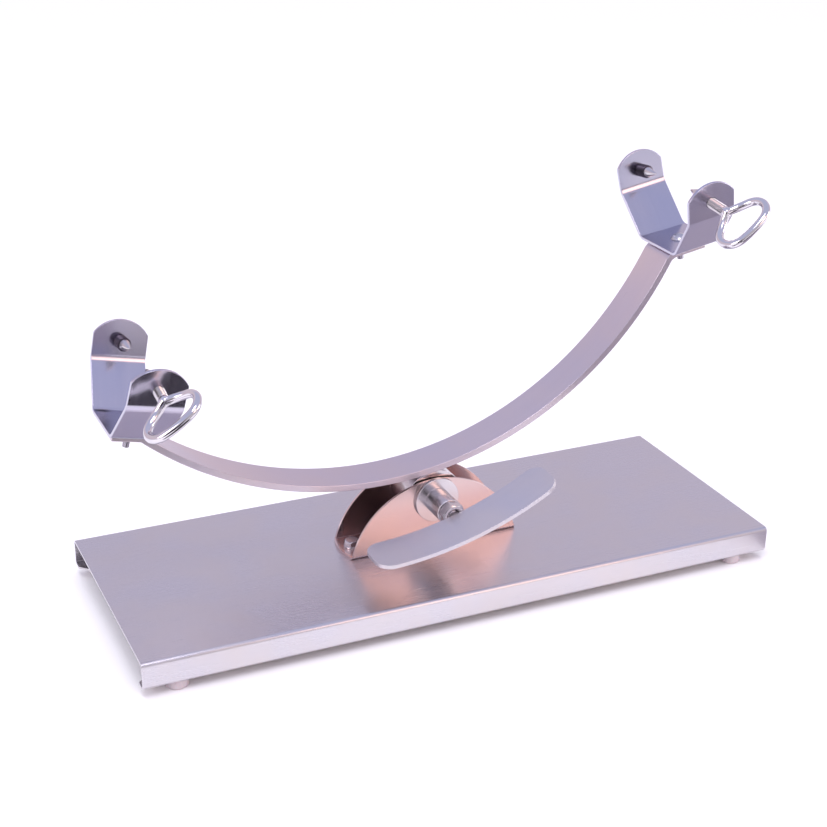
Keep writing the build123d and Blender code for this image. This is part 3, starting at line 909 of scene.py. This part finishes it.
class STAND_OT_clamps(bpy.types.Operator):
    """Make the folded clamps, their round-headed bolts and their nuts"""

    bl_idname = "stand.clamps"
    bl_label = "Clamps"

    def execute(self, context):
        clamp = context.scene.stand_clamp
        strap = context.scene.stand_strap
        for side in SIDES:
            eased_copy(
                f"clamp_{side}", f"folded_clamp_{side}", 0.5 * MM, f"brushed_stainless_{side}_clamp",
                "brushed_clamp", "cradle",
            )
        seats = [seat_place(side) for side in SIDES]
        half, rise = clamp.head / 2, clamp.head_height
        dome = (half**2 + rise**2) / (2 * rise)
        rim, crown, steps = 0.2 * MM, 0.3 * MM, 12  # height of the rim, radius of the flat on top
        stations = [(0, half * 0.97), (rim, half)]
        for step in range(1, steps):
            height = rim + (rise - rim) * step / steps
            stations.append((height, max(sqrt(dome**2 - (dome - rise + height) ** 2), crown)))
        stations.append((rise, crown))
        head = turn_on_lathe("clamp_round_bolts", stations)
        put(head, up(clamp.sheet))
        end = -(strap.thickness + clamp.nut_height + clamp.bolt_end)
        add_thread(head, clamp.bolt, 0.8 * MM, end, clamp.sheet + 0.2 * MM, tip=0.5 * MM)
        bolts = copies(head, seats)
        finish(bolts, *FASTENER, "cradle", "clamp_bolts")
        under = up(-strap.thickness - clamp.nut_height) @ Matrix.Rotation(SIXTH / 2, 4, "Z")
        hexagon_nuts(
            "clamp_hex_nuts", clamp.nut_flats, clamp.nut_height, clamp.bolt / 2,
            [seat @ under for seat in seats], "cradle", "clamp_nuts",
        )
        return {"FINISHED"}


class STAND_OT_points(bpy.types.Operator):
    """Make the fixed points in the rear wings and the nuts outside them"""

    bl_idname = "stand.points"
    bl_label = "Fixed points"

    def execute(self, context):
        clamp = context.scene.stand_clamp
        screw = context.scene.stand_screw
        radius = screw.diameter / 2
        inner = -clamp.sheet
        shoulder = inner - clamp.point_length
        outer = clamp.point_nut_height + clamp.point_end
        tip = shoulder - clamp.cone_length
        for side in SIDES:
            place = wing_place(side, rear=True)
            point = thread(
                f"fixed_thread_{side}", clamp.point_diameter, 1.5 * MM, shoulder, inner, tip=0.4 * MM
            )
            cone = turn_on_lathe(f"fixed_cone_{side}", [
                (tip, 0.4 * MM), (tip + 0.3 * MM, 0.7 * MM), (shoulder - 1.2 * MM, radius),
                (shoulder - 0.05 * MM, radius),
            ])
            put(cone, place)
            smooth(cone)
            finish(cone, *TURNED, "cradle", f"spike_{side}")
            add_thread(point, screw.diameter, screw.pitch, inner - 0.3 * MM, outer, tip=0.7 * MM)
            put(point, place)
            finish(point, "blackened_thread", "turned_steel", "cradle", f"spike_{side}")
        hexagon_nuts(
            "point_hex_nuts", clamp.point_nut_flats, clamp.point_nut_height, radius,
            [wing_place(side, rear=True) for side in SIDES], "cradle", "spike_nuts",
        )
        return {"FINISHED"}


class STAND_OT_screws(bpy.types.Operator):
    """Make the nuts in the front wings, the screws and their loose points"""

    bl_idname = "stand.screws"
    bl_label = "Ring screws"

    def execute(self, context):
        clamp = context.scene.stand_clamp
        screw = context.scene.stand_screw
        radius = screw.diameter / 2
        inside = up(-clamp.sheet - clamp.point_nut_height)
        hexagon_nuts(
            "wing_hex_nuts", clamp.point_nut_flats, clamp.point_nut_height, radius + 0.05 * MM,
            [wing_place(side) @ inside for side in SIDES], "cradle", "weld_nuts",
        )
        for side in SIDES:
            place = wing_place(side)
            neck = getattr(screw, f"{side}_reach") - screw.neck
            end = neck - screw.length
            shaft = thread(f"screw_thread_{side}", screw.diameter, screw.pitch, end, neck, tip=0.5 * MM)
            put(shaft, place)
            finish(shaft, *TURNED, f"{side}_screw", f"screw_shaft_{side}")
            base = end - 0.1 * MM
            tip = base - screw.point_length
            point = turn_on_lathe(f"loose_point_{side}", [
                (tip, 0.4 * MM), (tip + 0.3 * MM, 0.7 * MM), (base - 1 * MM, radius),
                (base - 0.3 * MM, radius), (base, radius - 0.3 * MM),
            ])
            smooth(point)
            put(point, place)
            finish(point, *TURNED, f"{side}_point", f"screw_point_{side}")
        return {"FINISHED"}


class STAND_OT_rings(bpy.types.Operator):
    """Make the bent wire rings and the weld that holds each to its screw"""

    bl_idname = "stand.rings"
    bl_label = "Rings"

    def execute(self, context):
        screw = context.scene.stand_screw
        spread, leg, corner, bow = screw.spread, screw.leg, screw.corner, screw.bow
        along = Vector((sin(spread), cos(spread), 0))
        corner_centre = along * leg + Vector((-cos(spread), sin(spread), 0)) * corner
        bow_half = asin(corner_centre.x / (bow - corner))
        bow_centre = corner_centre.y - sqrt((bow - corner) ** 2 - corner_centre.x**2)
        overlap = screw.wire  # the leg starts behind the joint, so the mitre cuts it clean
        bpy.ops.mesh.primitive_circle_add(vertices=32, radius=screw.wire / 2, fill_type="NOTHING")
        ring = name_active("ring")
        put(ring, axes(-along * overlap, Z, along))
        with editing(ring):
            extrude(along * (overlap + leg))
            corner_turn = radians(90) + spread - bow_half
            spin((corner_centre, corner_turn, 28), (Vector((0, bow_centre)), bow_half, 10))
        apply_modifier(
            ring, "MIRROR", use_axis=(True, False, False), use_bisect_axis=(True, False, False),
            use_mirror_merge=True, merge_threshold=0.01 * MM,
        )
        tidy_normals(ring)
        bead = stations_from(
            -screw.neck, (0, 3.4), (0.5, 3.75), (1.2, 3.95), (2.2, 4), (3.4, 3.9), (4.6, 3.5), (5.6, 2.8),
            (6.3, 1.8), (6.6, 0.6),
        )
        weld = turn_on_lathe("weld", bead, sides=40)
        put(weld, axes(Vector((0, 0, 0)), X, Y))
        boolean(ring, weld, "UNION")
        smooth(ring, 50)
        for side in SIDES:
            joint = wing_place(side) @ up(getattr(screw, f"{side}_reach"))
            level = joint @ Matrix.Rotation(getattr(screw, f"{side}_turn"), 4, "Z")
            across, outward = level.to_3x3() @ X, level.to_3x3() @ Z
            wire = duplicate(ring, f"wire_ring_{side}")
            put(wire, axes(joint.translation, across, across.cross(outward)))
            finish(wire, "polished_stainless_wire", "polished_wire", f"{side}_screw", f"ring_{side}")
        bpy.data.objects.remove(ring, do_unlink=True)
        return {"FINISHED"}


# ---- Stage ----
def lay_floor(stage):
    """Pale paper far past the edges of the view, with faint clouds in its white."""
    bpy.ops.mesh.primitive_plane_add(size=14)
    floor = name_active("floor")
    paper, tree = new_material("pale_floor_paper")
    place = node(tree, "ShaderNodeTexCoord"), "Object"
    clouds_in_a_metre = 60
    fibre = node(tree, "ShaderNodeTexNoise", {"Vector": place, "Scale": clouds_in_a_metre, "Detail": 3})
    tone = node(
        tree, "ShaderNodeMixRGB",
        {"Fac": fibre, "Color1": rgba(stage.floor, 0.99), "Color2": rgba(stage.floor)},
    )
    matt = node(tree, "ShaderNodeBsdfPrincipled", {"Base Color": tone, "Roughness": 0.9})
    node(tree, "ShaderNodeOutputMaterial", {"Surface": matt})
    floor.data.materials.append(paper)


def light_room(stage):
    """A soft room: one tone behind the stand, one in front of it and a cooler one overhead."""
    world = bpy.data.worlds.new("soft_room")
    bpy.context.scene.world = world
    world.use_nodes = True
    tree = world.node_tree
    tree.nodes.clear()
    direction = node(tree, "ShaderNodeTexCoord")
    parts = node(tree, "ShaderNodeSeparateXYZ", {"Vector": (direction, "Generated")})
    to_front = node(
        tree, "ShaderNodeMapRange", {"Value": (parts, "Y"), "From Min": 0.2, "From Max": -0.6}
    )
    overhead = node(
        tree, "ShaderNodeMapRange", {"Value": (parts, "Z"), "From Min": 0.42, "From Max": 0.64}
    )
    level = node(
        tree, "ShaderNodeMixRGB",
        {"Fac": to_front, "Color1": rgba(stage.behind), "Color2": rgba(stage.front)},
    )
    room = node(
        tree, "ShaderNodeMixRGB",
        {"Fac": overhead, "Color1": level, "Color2": rgba(stage.above)},
    )
    sky = node(tree, "ShaderNodeBackground", {"Color": room, "Strength": 1.0})
    node(tree, "ShaderNodeOutputWorld", {"Surface": sky})


def hang_lamp(name, kind, energy):
    """Add one lamp of that kind and energy."""
    light = bpy.data.lights.new(name, kind)
    light.energy = energy
    lamp = bpy.data.objects.new(name, light)
    bpy.context.scene.collection.objects.link(lamp)
    return lamp


def hang_softboxes(stage):
    """One large light overhead for soft shadows, and four square ones that the metal mirrors."""
    overhead = hang_lamp("large_overhead_softbox", "SUN", 1.5)
    overhead.data.angle = radians(50)
    overhead.rotation_euler = (radians(-8), radians(-5), 0)
    overhead.visible_glossy = False
    for name, place, breadth, power, colour in (
        ("left_softbox", (-1.6, -0.5, 0.9), 0.9, 8, stage.key),
        ("right_softbox", (1.5, -0.7, 0.45), 0.7, 5, stage.key),
        ("high_softbox", (-0.2, -0.7, 1.5), 0.6, 5, stage.key),
        ("warm_softbox", (0.80, -1.72, 0.95), 0.75, 5, stage.warm),
    ):
        lamp = hang_lamp(name, "AREA", power)
        lamp.data.shape = "SQUARE"
        lamp.data.size = breadth
        lamp.data.color = colour
        lamp.location = place
        lamp.rotation_euler = Vector(place).to_track_quat("Z", "Y").to_euler()
        lamp.visible_camera = False


def lay_cloths(stage):
    """Dark and grey cloths that only the metal shows, to set dark sides beside its bright ones."""
    lift = 0.001
    for name, place, breadth, depth, turn, lean, colour in (
        ("near_cloth", (-0.17, -0.425, lift), 0.30, 0.39, 0, 0, stage.cloth),
        ("far_cloth", (0.215, -0.96, lift), 1.07, 0.68, 0, 0, stage.cloth),
        ("side_cloth", (0.39, 0.02, lift), 0.26, 0.46, 0, 0, stage.grey_cloth),
        ("corner_cloth", (0.53, -0.41, lift), 0.54, 0.39, 0, 0, stage.corner_cloth),
        ("standing_cloth", (-0.75, -1.20, 0.35), 0.90, 0.60, -32, 90, stage.cloth),
    ):
        bpy.ops.mesh.primitive_plane_add(size=1)
        cloth = name_active(name)
        turned = Matrix.Rotation(radians(turn), 4, "Z") @ Matrix.Rotation(radians(lean), 4, "X")
        put(cloth, Matrix.Translation(place) @ turned @ Matrix.Diagonal((breadth, depth, 1, 1)))
        felt, tree = new_material(f"{name}_felt")
        matt = node(tree, "ShaderNodeBsdfPrincipled", {"Base Color": rgba(colour), "Roughness": 0.95})
        node(tree, "ShaderNodeOutputMaterial", {"Surface": matt})
        cloth.data.materials.append(felt)
        cloth.visible_camera = False
        cloth.visible_diffuse = False
        cloth.visible_shadow = False


def set_camera(stage):
    """Aim the camera from its turn, height and distance."""
    around, above = stage.azimuth, stage.elevation
    back = Vector((sin(around) * cos(above), -cos(around) * cos(above), sin(above)))
    aim = Vector((stage.aim_right, stage.aim_back, stage.aim_up))
    view = bpy.data.cameras.new("camera")
    view.lens = stage.lens
    view.sensor_width = SENSOR
    camera = bpy.data.objects.new("camera", view)
    bpy.context.scene.collection.objects.link(camera)
    upright = axes(aim + back * stage.distance, Vector((cos(around), sin(around), 0)), back)
    camera.matrix_world = upright @ Matrix.Rotation(stage.roll, 4, "Z")
    bpy.context.scene.camera = camera


class STAND_OT_stage(bpy.types.Operator):
    """Lay the pale floor and set the soft light and the camera"""

    bl_idname = "stand.stage"
    bl_label = "Stage"

    def execute(self, context):
        stage = context.scene.stand_stage
        for step in (lay_floor, light_room, hang_softboxes, lay_cloths, set_camera):
            step(stage)
        context.scene.view_settings.view_transform = "Standard"
        return {"FINISHED"}


class STAND_PT_panel(bpy.types.Panel):
    """Sidebar panel with the stand's sizes, colours and pieces"""

    bl_idname = "STAND_PT_panel"
    bl_label = "Clamp Stand"
    bl_space_type = "VIEW_3D"
    bl_region_type = "UI"
    bl_category = "Clamp Stand"

    def draw(self, context):
        for title, name in GROUPS.items():
            box = self.layout.box()
            box.label(text=title)
            group = getattr(context.scene, name)
            for key in group.__annotations__:
                box.prop(group, key)
        for piece in PIECES:
            self.layout.operator(piece.bl_idname)


GROUPS = {
    "Finish": "stand_finish",
    "Strap": "stand_strap",
    "Clamps": "stand_clamp",
    "Screws": "stand_screw",
    "Lever": "stand_lever",
    "Stage": "stand_stage",
}
SETTINGS = (StandFinish, StrapSizes, ClampSizes, ScrewSizes, LeverSizes, StageSettings)
PIECES = (
    STAND_OT_tray, STAND_OT_feet, STAND_OT_bracket, STAND_OT_pivot, STAND_OT_lever, STAND_OT_strap,
    STAND_OT_clamps, STAND_OT_points, STAND_OT_screws, STAND_OT_rings, STAND_OT_stage,
)


def register():
    """Register the settings, the operators and the panel."""
    for kind in (*SETTINGS, *PIECES, STAND_PT_panel):
        bpy.utils.register_class(kind)
    for name, kind in zip(GROUPS.values(), SETTINGS):
        setattr(bpy.types.Scene, name, PointerProperty(type=kind))


def unregister():
    """Take everything away again."""
    for name in GROUPS.values():
        delattr(bpy.types.Scene, name)
    for kind in reversed((*SETTINGS, *PIECES, STAND_PT_panel)):
        bpy.utils.unregister_class(kind)


def main():
    """Build the stand and its stage."""
    register()
    for piece in PIECES:
        group, name = piece.bl_idname.split(".")
        getattr(getattr(bpy.ops, group), name)()


if __name__ == "__main__":
    main()
